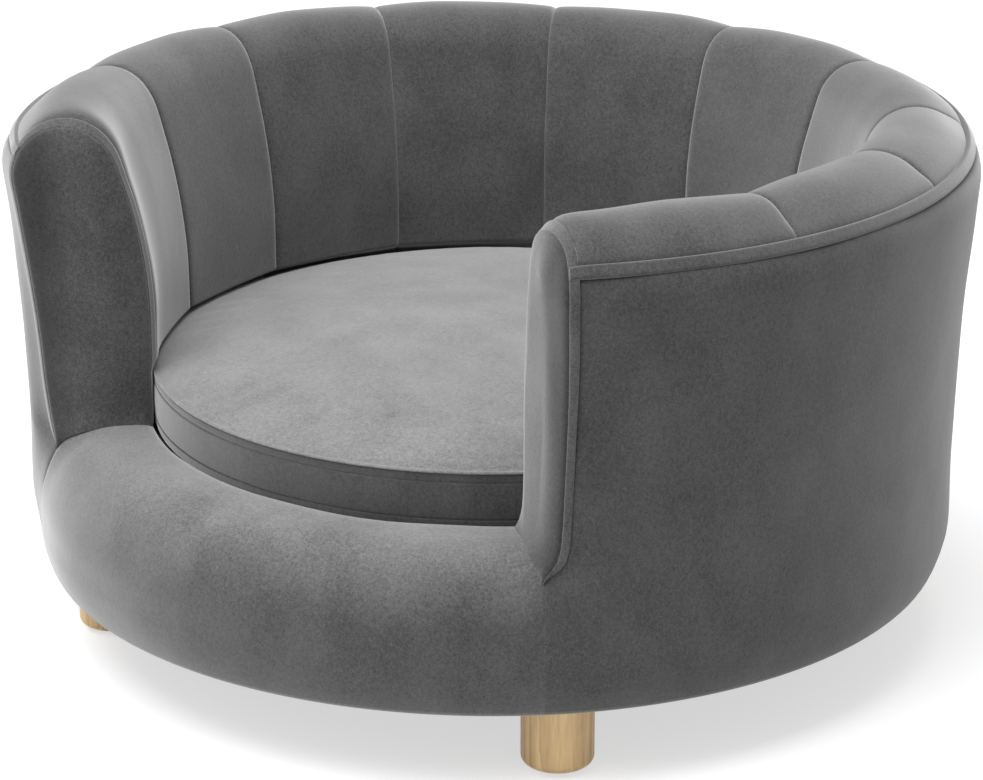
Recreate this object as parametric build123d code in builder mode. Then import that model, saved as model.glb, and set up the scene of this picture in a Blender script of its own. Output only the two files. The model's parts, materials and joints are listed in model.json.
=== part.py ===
from build123d import *
import math
import os

os.makedirs("parts", exist_ok=True)

# A round tub sofa for a dog: a C-shaped wall of ten channel pads round a loose cushion.
# Millimetres, +Z up, the opening faces -Y, the origin is on the floor under the middle of the whole.
# Every piece is drawn round the middle of the cushion and moved by box_shift when it is saved.

# Angles and counts
channel_count = 10
opening_angle = 90
back_stud_count = 6
front_stud_count = 3
deck_post_count = 4
staple_count = 24
zip_channels = 4

# Loose cushion
cushion_radius = 246.0
cushion_band_height = 38.0
cushion_edge_radius = 4.0
cushion_band_bulge = 0.8
cushion_crown = 28.0
cushion_shoulder_radius = 100.0
cushion_shoulder_angle = 38
cushion_cloth = 1.2

# Clearances
seat_gap = 0.3
cushion_clearance = 0.8
screw_clearance = 0.05
overrun = 1.0

# Wall, from the well outwards
pad_depth = 34.5
board_thickness = 3.0
stud_depth = 28.0
stud_width = 45.0
wadding_depth = 12.6
cover_thickness = 1.5
wall_bulge = 12.0
roll_radius = 39.0
crest_height = 381.0
inner_lean = 20
outer_lean = 6.3
seam_angle = 41
tuck_turn = 6
channel_recess = 5.0
pad_lip = 4.0
pad_tuck = 10.0

# Base and deck
glide_thickness = 3.0
leg_length = 53.0
leg_radius = 24.8
base_thickness = 12.0
dust_cover_thickness = 0.8
deck_top = 154.0
deck_cloth_thickness = 0.8
deck_foam_thickness = 10.0
deck_board_thickness = 9.0
deck_board_inset = 7.0
deck_post_width = 45.0
deck_post_ring = 165.0
rail_thickness = 18.0
rail_top_cover = 31.0

# Lower corner of the body and its turned-under hem
corner_radius = 50.0
corner_edge_radius = 10.0
corner_turn = 30
hem_width = 22.0
dust_cover_overlap = 16.0

# Low front roll
front_crest_height = 159.0
front_roll_radius = 58.0
front_rail_drop = 41.0

# Arm facings and the double-stitched bands
facing_crown = 15.0
facing_rim = 3.5
facing_rim_share = 0.62
facing_top_inset = 11.0
arm_foot_gap = 1.5
arm_toe_angle = 40
arm_heel_height = 178.0
welt_width = 8.5
welt_proud = 0.8
arm_band_width = 8.5

# Legs, bolts, T-nuts and glides
leg_ring = 281.0
first_leg_angle = -45
leg_top_fillet = 1.5
leg_bottom_fillet = 6.0
bolt_radius = 4.0
bolt_depth = 28.0
bolt_end_gap = 0.5
nut_wall = 1.5
nut_flange_radius = 11.0
nut_flange_thickness = 1.5
nut_barrel_length = 9.0
glide_radius = 13.5
glide_edge = 1.0
glide_nail_radius = 1.5
glide_nail_length = 12.0

# Frame screws and dust cover staples
screw_radius = 2.0
screw_head_radius = 4.0
screw_head_height = 2.0
screw_length = 40.0
screw_spacing = 22.0
staple_wire = 0.5
staple_crown = 10.0
staple_leg = 6.0
staple_margin = 4.0

# Zip at the back of the cushion's band
zip_recess = 8.5
zip_groove_height = 16.0
tape_thickness = 0.8
tape_height = 15.0
chain_thickness = 1.6
chain_height = 5.0
zip_end_length = 14.0
slider_length = 9.0
slider_height = 10.0
slider_plate = 1.4
slider_clearance = 0.3
lug_reach = 3.1
lug_height = 1.4
lug_length = 3.0
pull_pin_radius = 0.6
pull_pin_clearance = 0.1
pull_knuckle_wall = 0.5
pull_length = 18.0
pull_thickness = 0.9

# Worked out: angles of the arms and channels
right_arm = -90 + opening_angle / 2
left_arm = right_arm + 360 - opening_angle
channel_angle = (left_arm - right_arm) / channel_count

# Worked out: heights
underside = glide_thickness + leg_length
body_bottom = underside + dust_cover_thickness
base_bottom = body_bottom + cover_thickness
base_top = base_bottom + base_thickness
deck_cloth_bottom = deck_top - deck_cloth_thickness
deck_foam_bottom = deck_cloth_bottom - deck_foam_thickness
deck_board_bottom = deck_foam_bottom - deck_board_thickness
tuck_foot = deck_top - pad_tuck
rail_top = crest_height - rail_top_cover
rail_bottom = rail_top - rail_thickness
front_rail_top = front_crest_height - front_rail_drop
front_rail_bottom = front_rail_top - rail_thickness
board_foot = base_bottom + board_thickness

# Worked out: the back flares out and the front doesn't, so the whole is moved forward by half of it
box_shift = -wall_bulge / 2

# Worked out: radii from the well outwards
well_radius = cushion_radius + cushion_band_bulge + cushion_clearance
inner_board_in = well_radius + pad_depth + seat_gap
inner_board_out = inner_board_in + board_thickness
stud_face = inner_board_out + seat_gap
stud_reach = math.hypot(stud_face + stud_depth, stud_width / 2)
outer_board_in = stud_reach + seat_gap
outer_board_out = outer_board_in + board_thickness
lower_radius = outer_board_out + seat_gap + wadding_depth + cover_thickness
outer_radius = lower_radius + wall_bulge

# Worked out: the wall's roll, and the two long arcs that lean into it
roll_centre = (outer_radius - roll_radius, crest_height - roll_radius)
inner_turn = math.radians(inner_lean)
outer_turn = math.radians(outer_lean)
lean_run = roll_centre[0] - roll_radius * math.cos(inner_turn) - well_radius
lean_radius = lean_run / (1 - math.cos(inner_turn))
lean_drop = (lean_radius - roll_radius) * math.sin(inner_turn)
lean_centre = (well_radius + lean_radius, roll_centre[1] - lean_drop)
flare_run = roll_centre[0] + roll_radius * math.cos(outer_turn) - lower_radius
flare_radius = flare_run / (1 - math.cos(outer_turn))
flare_drop = (flare_radius + roll_radius) * math.sin(outer_turn)
flare_centre = (lower_radius + flare_radius, roll_centre[1] - flare_drop)

# Worked out: the wall and the front part where the bands behind the arm facings end
band_angle = math.degrees(arm_band_width / roll_centre[0])
wall_start = right_arm + band_angle
wall_end = left_arm - band_angle
wall_angle = wall_end - wall_start
front_angle = 360 - wall_angle

# Worked out: the lower corner, a wide arc that tightens into a small one
corner_slope = math.radians(corner_turn)
corner_step = corner_radius - corner_edge_radius
corner_centre = (
    lower_radius - corner_radius,
    body_bottom + corner_edge_radius + corner_step * math.sin(corner_slope),
)
edge_centre = (corner_centre[0] + corner_step * math.cos(corner_slope), body_bottom + corner_edge_radius)

# Worked out: the front roll and the shallow arc that falls from its crest to the deck
front_centre = (lower_radius - front_roll_radius, front_crest_height - front_roll_radius)
slope_run = front_centre[0] - well_radius
slope_fall = front_crest_height - deck_top
slope_radius = (slope_run**2 + slope_fall**2) / (2 * slope_fall)
slope_centre = (front_centre[0], front_crest_height - slope_radius)

# Worked out: the cushion's crown, a wide arc that tightens at the shoulder
cushion_bottom = deck_top + seat_gap
cushion_seam = cushion_bottom + cushion_edge_radius + cushion_band_height
cushion_top = cushion_seam + cushion_crown
shoulder_turn = math.radians(cushion_shoulder_angle)
shoulder_centre = (
    cushion_radius - cushion_shoulder_radius * math.sin(shoulder_turn),
    cushion_seam - cushion_shoulder_radius * math.cos(shoulder_turn),
)
crown_lift = cushion_top - shoulder_centre[1]
crown_radius = (crown_lift**2 + shoulder_centre[0] ** 2 - cushion_shoulder_radius**2) / (
    2 * (crown_lift - cushion_shoulder_radius)
)
crown_centre = (0, cushion_top - crown_radius)
crown_angle = math.degrees(math.asin(shoulder_centre[0] / (crown_radius - cushion_shoulder_radius)))

# Worked out: the zip
zip_angle = channel_angle * zip_channels
zip_height = cushion_bottom + cushion_edge_radius + cushion_band_height / 2
zip_floor = cushion_radius - zip_recess
tape_in = zip_floor + slider_clearance / 2
tape_out = tape_in + tape_thickness
chain_in = tape_out + pull_pin_clearance
chain_out = chain_in + chain_thickness
slider_in = tape_out + slider_clearance
slider_front = chain_out + slider_clearance + slider_plate
pull_pin_ring = slider_front + lug_reach / 2
zip_start = 90 - zip_angle / 2
zip_end_angle = math.degrees(zip_end_length / cushion_radius)


def section_plane(angle):
    """The upright plane through the sofa's axis at an angle, x outwards and y up."""
    turn = math.radians(angle)
    return Plane(
        origin=(0, 0, 0),
        x_dir=(math.cos(turn), math.sin(turn), 0),
        z_dir=(math.sin(turn), -math.cos(turn), 0),
    )


def level_plane(height, angle=0):
    """A level plane at a height, its x turned outwards at an angle."""
    turn = math.radians(angle)
    return Plane(origin=(0, 0, height), x_dir=(math.cos(turn), math.sin(turn), 0), z_dir=(0, 0, 1))


def on_circle(centre, radius, angle):
    """The point of a circle at an angle."""
    turn = math.radians(angle)
    return (centre[0] + radius * math.cos(turn), centre[1] + radius * math.sin(turn))


def rectangle(low, high):
    """A closed outline between two opposite corners."""
    Polyline(low, (high[0], low[1]), high, (low[0], high[1]), close=True)


def ring_section(inner, outer, bottom, top):
    """The upright section of a level ring."""
    with BuildLine() as outline:
        rectangle((inner, bottom), (outer, top))
    make_face(outline.edges())


def lower_corner(inset, start_height=None):
    """The body's lower corner from its hem, or from a height inside it, up to the straight wall."""
    if start_height is None:
        start = (outer_board_out - hem_width, body_bottom + inset)
        Line(start, (edge_centre[0], body_bottom + inset))
        CenterArc(edge_centre, corner_edge_radius - inset, -90, 90 - corner_turn)
        CenterArc(corner_centre, corner_radius - inset, -corner_turn, corner_turn)
        return start
    rise = corner_centre[1] - start_height
    angle = math.degrees(math.asin(rise / (corner_radius - inset)))
    CenterArc(corner_centre, corner_radius - inset, -angle, angle)
    return on_circle(corner_centre, corner_radius - inset, -angle)


def wall_outside(inset, end_angle, start_height=None):
    """The wall's outer face, up its flare and round the roll to an angle."""
    start = lower_corner(inset, start_height)
    Line((lower_radius - inset, corner_centre[1]), (lower_radius - inset, flare_centre[1]))
    CenterArc(flare_centre, flare_radius + inset, 180, -outer_lean)
    CenterArc(roll_centre, roll_radius - inset, -outer_lean, outer_lean + end_angle)
    return start, on_circle(roll_centre, roll_radius - inset, end_angle)


def front_outside(inset, foot, start_height=None):
    """The front's outer face, over its roll, down to the deck and on to a foot."""
    start = lower_corner(inset, start_height)
    Line((lower_radius - inset, corner_centre[1]), (lower_radius - inset, front_centre[1]))
    CenterArc(front_centre, front_roll_radius - inset, 0, 90)
    run = slope_centre[0] - well_radius - inset
    slope_angle = math.degrees(math.asin(run / (slope_radius - inset)))
    CenterArc(slope_centre, slope_radius - inset, 90, slope_angle)
    end = (well_radius + inset, foot)
    Line(on_circle(slope_centre, slope_radius - inset, 90 + slope_angle), end)
    return start, end


def pad_section(inset):
    """A channel pad across: well face, roll and lip outside, rail and board inside."""
    seam = on_circle(roll_centre, roll_radius - inset, seam_angle)
    lip = on_circle(roll_centre, roll_radius - channel_recess - pad_lip, seam_angle)
    well_face = well_radius + inset
    back_face = inner_board_in - seat_gap
    with BuildLine() as outline:
        CenterArc(roll_centre, roll_radius - inset, seam_angle, 180 - inner_lean - seam_angle)
        CenterArc(lean_centre, lean_radius - inset, 180 - inner_lean, inner_lean)
        Polyline(
            (well_face, lean_centre[1]),
            (well_face, tuck_foot),
            (back_face, tuck_foot),
            (back_face, rail_top + seat_gap),
            (outer_board_out + seat_gap, rail_top + seat_gap),
            lip,
            seam,
        )
    make_face(outline.edges())


def facing_section(inset):
    """An arm facing's outline: well face, roll and flare, down to a toe that hugs the front roll."""
    foot = front_crest_height + arm_foot_gap + inset
    foot_radius = front_roll_radius + arm_foot_gap + inset
    heel_height = arm_heel_height + inset
    heel_angle = math.degrees(math.asin((heel_height - flare_centre[1]) / (flare_radius + inset)))
    heel = on_circle(flare_centre, flare_radius + inset, 180 - heel_angle)
    well_face = well_radius + inset
    with BuildLine() as outline:
        CenterArc(roll_centre, roll_radius - inset, -outer_lean, 180 - inner_lean + outer_lean)
        CenterArc(lean_centre, lean_radius - inset, 180 - inner_lean, inner_lean)
        Polyline((well_face, lean_centre[1]), (well_face, foot), (front_centre[0], foot))
        CenterArc(front_centre, foot_radius, arm_toe_angle, 90 - arm_toe_angle)
        Line(on_circle(front_centre, foot_radius, arm_toe_angle), heel)
        CenterArc(flare_centre, flare_radius + inset, 180 - heel_angle, heel_angle - outer_lean)
    make_face(outline.edges())


def arm_band(arm, way, inset, mode=Mode.ADD):
    """The wedge behind an arm facing, drawn in from the roll by an inset."""
    with BuildSketch(section_plane(arm if way > 0 else arm - band_angle)) as section:
        facing_section(channel_recess + inset)
    revolve(section.sketch, axis=Axis.Z, revolution_arc=band_angle, mode=mode)


def facing_cap(arm, way, inset, mode=Mode.ADD):
    """A crowned pad on an arm's end, drawn in from its seam by an inset."""
    crown = facing_crown - inset
    plane = section_plane(arm)
    with BuildSketch(plane) as seam:
        facing_section(channel_recess + inset)
    with BuildSketch(plane.offset(way * crown * facing_rim_share)) as rim:
        facing_section(channel_recess + inset + facing_rim)
    with BuildSketch(plane.offset(way * crown)) as top:
        facing_section(channel_recess + inset + facing_top_inset)
    loft([seam.sketch, rim.sketch, top.sketch], mode=mode)


def cushion_crown_arcs(inset):
    """The cushion's crown from its middle to its seam."""
    CenterArc(crown_centre, crown_radius - inset, 90 - crown_angle, crown_angle)
    CenterArc(
        shoulder_centre,
        cushion_shoulder_radius - inset,
        90 - cushion_shoulder_angle,
        cushion_shoulder_angle - crown_angle,
    )
    return on_circle(shoulder_centre, cushion_shoulder_radius - inset, 90 - cushion_shoulder_angle)


def cushion_band_arc(inset, head):
    """The band's slightly full side, from the lower seam to a head."""
    foot = cushion_bottom + cushion_edge_radius
    start = (cushion_radius - inset, foot)
    end = (cushion_radius - inset, head)
    ThreePointArc(start, (cushion_radius + cushion_band_bulge - inset, (foot + head) / 2), end)
    return start, end


def cushion_base_arc(inset):
    """The cushion's flat bottom and its rounded lower edge."""
    corner = (cushion_radius - cushion_edge_radius, cushion_bottom + cushion_edge_radius)
    Line((0, cushion_bottom + inset), (corner[0], cushion_bottom + inset))
    CenterArc(corner, cushion_edge_radius - inset, -90, 90)


def zip_groove():
    """The recess for the zip round the back of the band."""
    with BuildSketch(section_plane(zip_start - 2 * zip_end_angle)) as groove:
        ring_section(
            zip_floor,
            cushion_radius + cushion_band_bulge + overrun,
            zip_height - zip_groove_height / 2,
            zip_height + zip_groove_height / 2,
        )
    arc = zip_angle + 4 * zip_end_angle
    revolve(groove.sketch, axis=Axis.Z, revolution_arc=arc, mode=Mode.SUBTRACT)


def save(builder, name):
    """Move a finished piece to its place over the origin, name it and write its file."""
    piece = builder.part.moved(Pos(0, box_shift))
    piece.label = name
    export_step(piece, f"parts/{name}.step")


# Where the studs stand, as angles, and the places that follow from them
stud_half_angle = math.degrees(math.atan((stud_width / 2 + seat_gap) / stud_face))
arm_post_angles = {"right": wall_start + stud_half_angle, "left": wall_end - stud_half_angle}
back_step = (arm_post_angles["left"] - arm_post_angles["right"]) / (back_stud_count + 1)
back_stud_angles = [arm_post_angles["right"] + back_step * (k + 1) for k in range(back_stud_count)]
front_step = opening_angle / (front_stud_count + 1)
front_stud_angles = [right_arm - front_step * (k + 1) for k in range(front_stud_count)]
wall_stud_angles = [arm_post_angles["right"], *back_stud_angles, arm_post_angles["left"]]
stud_middle = stud_face + stud_depth / 2
leg_names = ["front_right", "back_right", "back_left", "front_left"]
leg_step = 360 / len(leg_names)
leg_places = {
    name: on_circle((0, 0), leg_ring, first_leg_angle + leg_step * k) for k, name in enumerate(leg_names)
}


def screw_locations(height, angles):
    """A pair of screw places on each stud."""
    for angle in angles:
        for shift in (-screw_spacing / 2, screw_spacing / 2):
            yield level_plane(height, angle) * Pos(stud_middle, shift)


def stud(angle, bottom, top):
    """One upright stud, with pilot holes for its screws."""
    with BuildSketch(level_plane(bottom, angle)) as section:
        with Locations((stud_middle, 0)):
            Rectangle(stud_depth, stud_width)
    extrude(section.sketch, amount=top - bottom)


def pilot_holes(angles, bottom, top=None):
    """Holes that take the frame screws, from below and, under a rail, from above."""
    base_reach = screw_length - base_thickness + seat_gap
    with Locations(*screw_locations(bottom, angles)):
        Cylinder(
            screw_radius + screw_clearance,
            base_reach,
            align=(Align.CENTER, Align.CENTER, Align.MIN),
            mode=Mode.SUBTRACT,
        )
    if top is not None:
        rail_reach = screw_length - rail_thickness + seat_gap
        with Locations(*screw_locations(top, angles)):
            Cylinder(
                screw_radius + screw_clearance,
                rail_reach,
                align=(Align.CENTER, Align.CENTER, Align.MAX),
                mode=Mode.SUBTRACT,
            )


# Base board: a plywood disc with T-nut seats and countersunk screw holes
with BuildPart() as base_board:
    with BuildSketch(level_plane(base_bottom)):
        Circle(stud_reach)
    extrude(amount=base_thickness)
    with Locations(*[(x, y, base_top) for x, y in leg_places.values()]):
        CounterBoreHole(
            bolt_radius + nut_wall + screw_clearance,
            nut_flange_radius + screw_clearance,
            nut_flange_thickness,
        )
    turned = [place * Rot(180, 0, 0) for place in screw_locations(base_bottom, wall_stud_angles)]
    turned += [place * Rot(180, 0, 0) for place in screw_locations(base_bottom, front_stud_angles)]
    with Locations(*turned):
        CounterSinkHole(screw_radius + screw_clearance, screw_head_radius + screw_clearance)
save(base_board, "base_board")

# Studs between the base board and the rails
for side, angle in arm_post_angles.items():
    with BuildPart() as arm_post:
        stud(angle, base_top, rail_bottom)
        pilot_holes([angle], base_top, rail_bottom)
    save(arm_post, f"{side}_arm_post")

with BuildPart() as back_studs:
    for angle in back_stud_angles:
        stud(angle, base_top, rail_bottom)
    pilot_holes(back_stud_angles, base_top, rail_bottom)
save(back_studs, "back_studs")

with BuildPart() as front_studs:
    for angle in front_stud_angles:
        stud(angle, base_top, front_rail_bottom)
    pilot_holes(front_stud_angles, base_top)
save(front_studs, "front_studs")

# Curved rails on top of the studs
with BuildPart() as top_rail:
    with BuildSketch(section_plane(wall_start)):
        ring_section(stud_face, stud_reach, rail_bottom, rail_top)
    revolve(axis=Axis.Z, revolution_arc=wall_angle)
    with Locations(*screw_locations(rail_top, wall_stud_angles)):
        CounterSinkHole(screw_radius + screw_clearance, screw_head_radius + screw_clearance)
save(top_rail, "top_rail")

front_rail_in = well_radius + cover_thickness + seat_gap
with BuildPart() as front_rail:
    with BuildSketch(section_plane(wall_end)):
        ring_section(front_rail_in, stud_reach, front_rail_bottom, front_rail_top)
    revolve(axis=Axis.Z, revolution_arc=front_angle)
save(front_rail, "front_rail")

# Thin curved boards that the padding lies on
with BuildPart() as inner_board:
    with BuildSketch(section_plane(wall_start)):
        ring_section(inner_board_in, inner_board_out, deck_board_bottom, rail_top)
    revolve(axis=Axis.Z, revolution_arc=wall_angle)
save(inner_board, "inner_board")

with BuildPart() as outer_board:
    with BuildSketch(section_plane(wall_start)):
        ring_section(outer_board_in, outer_board_out, board_foot, rail_top)
    revolve(axis=Axis.Z, revolution_arc=wall_angle)
save(outer_board, "outer_board")

with BuildPart() as front_board:
    with BuildSketch(section_plane(wall_end)):
        ring_section(outer_board_in, outer_board_out, board_foot, front_rail_top)
    revolve(axis=Axis.Z, revolution_arc=front_angle)
save(front_board, "front_board")

# Deck: posts, a board, thin foam and a lining cloth, which carry the cushion
with BuildPart() as deck_posts:
    with BuildSketch(level_plane(base_top)):
        Rectangle(deck_post_width, deck_post_width)
        with PolarLocations(deck_post_ring, deck_post_count):
            Rectangle(deck_post_width, deck_post_width)
    extrude(amount=deck_board_bottom - base_top)
save(deck_posts, "deck_posts")

deck_layers = {
    "deck_board": (well_radius - deck_board_inset, deck_board_bottom, deck_board_thickness),
    "deck_foam": (well_radius - seat_gap, deck_foam_bottom, deck_foam_thickness),
    "deck_cloth": (well_radius - seat_gap, deck_cloth_bottom, deck_cloth_thickness),
}
for name, (radius, height, thickness) in deck_layers.items():
    with BuildPart() as layer:
        with BuildSketch(level_plane(height)):
            Circle(radius)
        extrude(amount=thickness)
    save(layer, name)

# Wadding behind the outer cover, each ending a little below the seam under the roll
cover_end = seam_angle - tuck_turn
foam_inset = cover_thickness + seat_gap
wadding_in = outer_board_out + seat_gap
wadding_end = cover_end - tuck_turn
with BuildPart() as outer_wadding:
    with BuildSketch(section_plane(wall_start)):
        with BuildLine():
            foot, head = wall_outside(foam_inset, wadding_end, base_top)
            Polyline(head, (wadding_in, rail_top), (wadding_in, base_top), foot)
        make_face()
    revolve(axis=Axis.Z, revolution_arc=wall_angle)
save(outer_wadding, "outer_wadding")

# Foam of the low front roll, over the front rail and down the front board
with BuildPart() as front_roll_foam:
    with BuildSketch(section_plane(wall_end)):
        with BuildLine():
            foot, heel = front_outside(foam_inset, front_rail_top, base_top)
            Polyline(heel, (wadding_in, front_rail_top), (wadding_in, base_top), foot)
        make_face()
    revolve(axis=Axis.Z, revolution_arc=front_angle)
save(front_roll_foam, "front_roll_foam")

# Channel pads: foam and velvet, full in the middle and drawn in at each seam
seam_turn = math.degrees(seat_gap / 2 / inner_board_in)
for k in range(channel_count):
    first = max(right_arm + k * channel_angle + seam_turn, wall_start)
    last = min(right_arm + (k + 1) * channel_angle - seam_turn, wall_end)
    with BuildPart() as channel:
        for angle, inset in ((first, channel_recess), ((first + last) / 2, 0), (last, channel_recess)):
            with BuildSketch(section_plane(angle)):
                pad_section(inset)
        loft()
    save(channel, f"channel_{k + 1:02d}")

# Arm ends: a crowned foam pad under a velvet facing, with its double-stitched band
for side, arm, way in (("right", right_arm, 1), ("left", left_arm, -1)):
    with BuildPart() as arm_foam:
        facing_cap(arm, way, foam_inset)
        arm_band(arm, way, foam_inset)
    save(arm_foam, f"{side}_arm_foam")
    with BuildPart() as arm_facing:
        facing_cap(arm, way, 0)
        facing_cap(arm, way, cover_thickness, mode=Mode.SUBTRACT)
    save(arm_facing, f"{side}_arm_facing")
    with BuildPart() as arm_welt:
        arm_band(arm, way, 0)
        arm_band(arm, way, cover_thickness, mode=Mode.SUBTRACT)
    save(arm_welt, f"{side}_arm_welt")

# Velvet covers outside and over the front
with BuildPart() as outer_cover:
    with BuildSketch(section_plane(wall_start)):
        with BuildLine():
            outer_foot, outer_head = wall_outside(0, cover_end)
            inner_foot, inner_head = wall_outside(cover_thickness, cover_end)
            Line(outer_foot, inner_foot)
            Line(outer_head, inner_head)
        make_face()
    revolve(axis=Axis.Z, revolution_arc=wall_angle)
save(outer_cover, "outer_cover")

with BuildPart() as front_cover:
    with BuildSketch(section_plane(wall_end)):
        with BuildLine():
            outer_foot, outer_heel = front_outside(0, tuck_foot)
            inner_foot, inner_heel = front_outside(cover_thickness, tuck_foot)
            Line(outer_foot, inner_foot)
            Line(outer_heel, inner_heel)
        make_face()
    revolve(axis=Axis.Z, revolution_arc=front_angle)
save(front_cover, "front_cover")

# Outer welt: the band of folded velvet along the seam under the roll
welt_angle = math.degrees(welt_width / roll_radius)
with BuildPart() as outer_welt:
    with BuildSketch(section_plane(wall_start)):
        with BuildLine():
            start = seam_angle - welt_angle
            CenterArc(roll_centre, roll_radius + seat_gap, start, welt_angle)
            CenterArc(roll_centre, roll_radius + seat_gap + welt_proud, start, welt_angle)
            for angle in (start, seam_angle):
                low = on_circle(roll_centre, roll_radius + seat_gap, angle)
                Line(low, on_circle(roll_centre, roll_radius + seat_gap + welt_proud, angle))
        make_face()
    revolve(axis=Axis.Z, revolution_arc=wall_angle)
save(outer_welt, "outer_welt")

# Dust cover under the base, with holes for the bolts
dust_cover_radius = outer_board_out - hem_width + dust_cover_overlap
with BuildPart() as dust_cover:
    with BuildSketch(level_plane(underside)):
        Circle(dust_cover_radius)
        with Locations(*leg_places.values()):
            Circle(bolt_radius + seat_gap, mode=Mode.SUBTRACT)
    extrude(amount=dust_cover_thickness)
save(dust_cover, "dust_cover")

# Staples that hold the dust cover and the hem to the base board
staple_ring = dust_cover_radius - staple_margin
with BuildPart() as staples:
    for k in range(staple_count):
        angle = 360 / staple_count * (k + 1 / 2)
        centre = on_circle((0, 0), staple_ring, angle)
        with Locations(Location((*centre, underside), (0, 0, angle))):
            Box(staple_wire, staple_crown, staple_wire, align=(Align.CENTER, Align.CENTER, Align.MAX))
            for shift in (-1, 1):
                with Locations((0, shift * (staple_crown - staple_wire) / 2, 0)):
                    Box(
                        staple_wire,
                        staple_wire,
                        staple_leg,
                        align=(Align.CENTER, Align.CENTER, Align.MIN),
                    )
save(staples, "staples")

# T-nuts seated in the base board
with BuildPart() as t_nuts:
    with BuildSketch(level_plane(base_top)):
        with Locations(*leg_places.values()):
            Circle(nut_flange_radius)
            Circle(bolt_radius + screw_clearance, mode=Mode.SUBTRACT)
    extrude(amount=-nut_flange_thickness)
    with BuildSketch(level_plane(base_top - nut_flange_thickness)):
        with Locations(*leg_places.values()):
            Circle(bolt_radius + nut_wall)
            Circle(bolt_radius + screw_clearance, mode=Mode.SUBTRACT)
    extrude(amount=-nut_barrel_length)
save(t_nuts, "t_nuts")

# Frame screws, up through the base board and down through the top rail
with BuildPart() as frame_screws:
    upward = list(screw_locations(base_bottom, [*wall_stud_angles, *front_stud_angles]))
    downward = [place * Rot(180, 0, 0) for place in screw_locations(rail_top, wall_stud_angles)]
    with Locations(*upward, *downward):
        Cylinder(screw_radius, screw_length, align=(Align.CENTER, Align.CENTER, Align.MIN))
        Cone(
            screw_head_radius,
            screw_radius,
            screw_head_height,
            align=(Align.CENTER, Align.CENTER, Align.MIN),
        )
save(frame_screws, "frame_screws")

# Legs: turned wood, each with its hanger bolt and glide
bolt_bottom = underside - bolt_depth
bolt_top = base_top - bolt_end_gap
for name, place in leg_places.items():
    with BuildPart() as leg:
        with BuildSketch(level_plane(glide_thickness)):
            with Locations(place):
                Circle(leg_radius)
        extrude(amount=leg_length)
        rims = leg.edges().filter_by(GeomType.CIRCLE).sort_by(Axis.Z)
        fillet(rims[0], leg_bottom_fillet)
        fillet(leg.edges().filter_by(GeomType.CIRCLE).sort_by(Axis.Z)[-1], leg_top_fillet)
        with Locations((*place, underside)):
            Hole(bolt_radius + screw_clearance, bolt_depth + seat_gap)
        with Locations(Location((*place, glide_thickness), (180, 0, 0))):
            Hole(glide_nail_radius + screw_clearance, glide_nail_length + seat_gap)
    save(leg, f"{name}_leg")
    with BuildPart() as bolt:
        with BuildSketch(level_plane(bolt_bottom)):
            with Locations(place):
                Circle(bolt_radius)
        extrude(amount=bolt_top - bolt_bottom)
    save(bolt, f"{name}_bolt")
    with BuildPart() as glide:
        with BuildSketch(level_plane(0)):
            with Locations(place):
                Circle(glide_radius)
        extrude(amount=glide_thickness)
        fillet(glide.edges().filter_by(GeomType.CIRCLE).sort_by(Axis.Z)[0], glide_edge)
        with BuildSketch(level_plane(glide_thickness)):
            with Locations(place):
                Circle(glide_nail_radius)
        extrude(amount=glide_nail_length)
    save(glide, f"{name}_glide")

# Cushion foam: full crown, slightly full band, flat bottom
foam_skin = cushion_cloth + seat_gap
band_top = cushion_seam - foam_skin
with BuildPart() as cushion_foam:
    with BuildSketch(section_plane(0)):
        with BuildLine():
            crown_end = cushion_crown_arcs(foam_skin)
            band_foot, band_head = cushion_band_arc(foam_skin, band_top)
            Line(crown_end, band_head)
            cushion_base_arc(foam_skin)
            Line((0, cushion_bottom + foam_skin), (0, cushion_top - foam_skin))
        make_face()
    revolve(axis=Axis.Z)
    zip_groove()
save(cushion_foam, "cushion_foam")

# Cushion cover: top panel, band and bottom panel
with BuildPart() as cushion_top_panel:
    with BuildSketch(section_plane(0)):
        with BuildLine():
            outer_end = cushion_crown_arcs(0)
            inner_end = cushion_crown_arcs(cushion_cloth)
            Line(outer_end, inner_end)
            Line((0, cushion_top), (0, cushion_top - cushion_cloth))
        make_face()
    revolve(axis=Axis.Z)
save(cushion_top_panel, "cushion_top_panel")

with BuildPart() as cushion_band:
    with BuildSketch(section_plane(0)):
        with BuildLine():
            outer_foot, outer_head = cushion_band_arc(0, band_top)
            inner_foot, inner_head = cushion_band_arc(cushion_cloth, band_top)
            Line(outer_foot, inner_foot)
            Line(outer_head, inner_head)
        make_face()
    revolve(axis=Axis.Z)
    zip_groove()
save(cushion_band, "cushion_band")

with BuildPart() as cushion_bottom_panel:
    with BuildSketch(section_plane(0)):
        with BuildLine():
            cushion_base_arc(0)
            cushion_base_arc(cushion_cloth)
            Line((0, cushion_bottom), (0, cushion_bottom + cushion_cloth))
            foot = cushion_bottom + cushion_edge_radius
            Line((cushion_radius, foot), (cushion_radius - cushion_cloth, foot))
        make_face()
    revolve(axis=Axis.Z)
save(cushion_bottom_panel, "cushion_bottom_panel")

# Zip: a tape on the floor of the recess with the chain of teeth along it
zip_rings = {
    "zip_tape": (tape_in, tape_out, tape_height),
    "zip_chain": (chain_in, chain_out, chain_height),
}
for name, (inner, outer, height) in zip_rings.items():
    with BuildPart() as zip_ring:
        with BuildSketch(section_plane(zip_start - zip_end_angle)):
            ring_section(inner, outer, zip_height - height / 2, zip_height + height / 2)
        revolve(axis=Axis.Z, revolution_arc=zip_angle + 2 * zip_end_angle)
    save(zip_ring, name)

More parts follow.
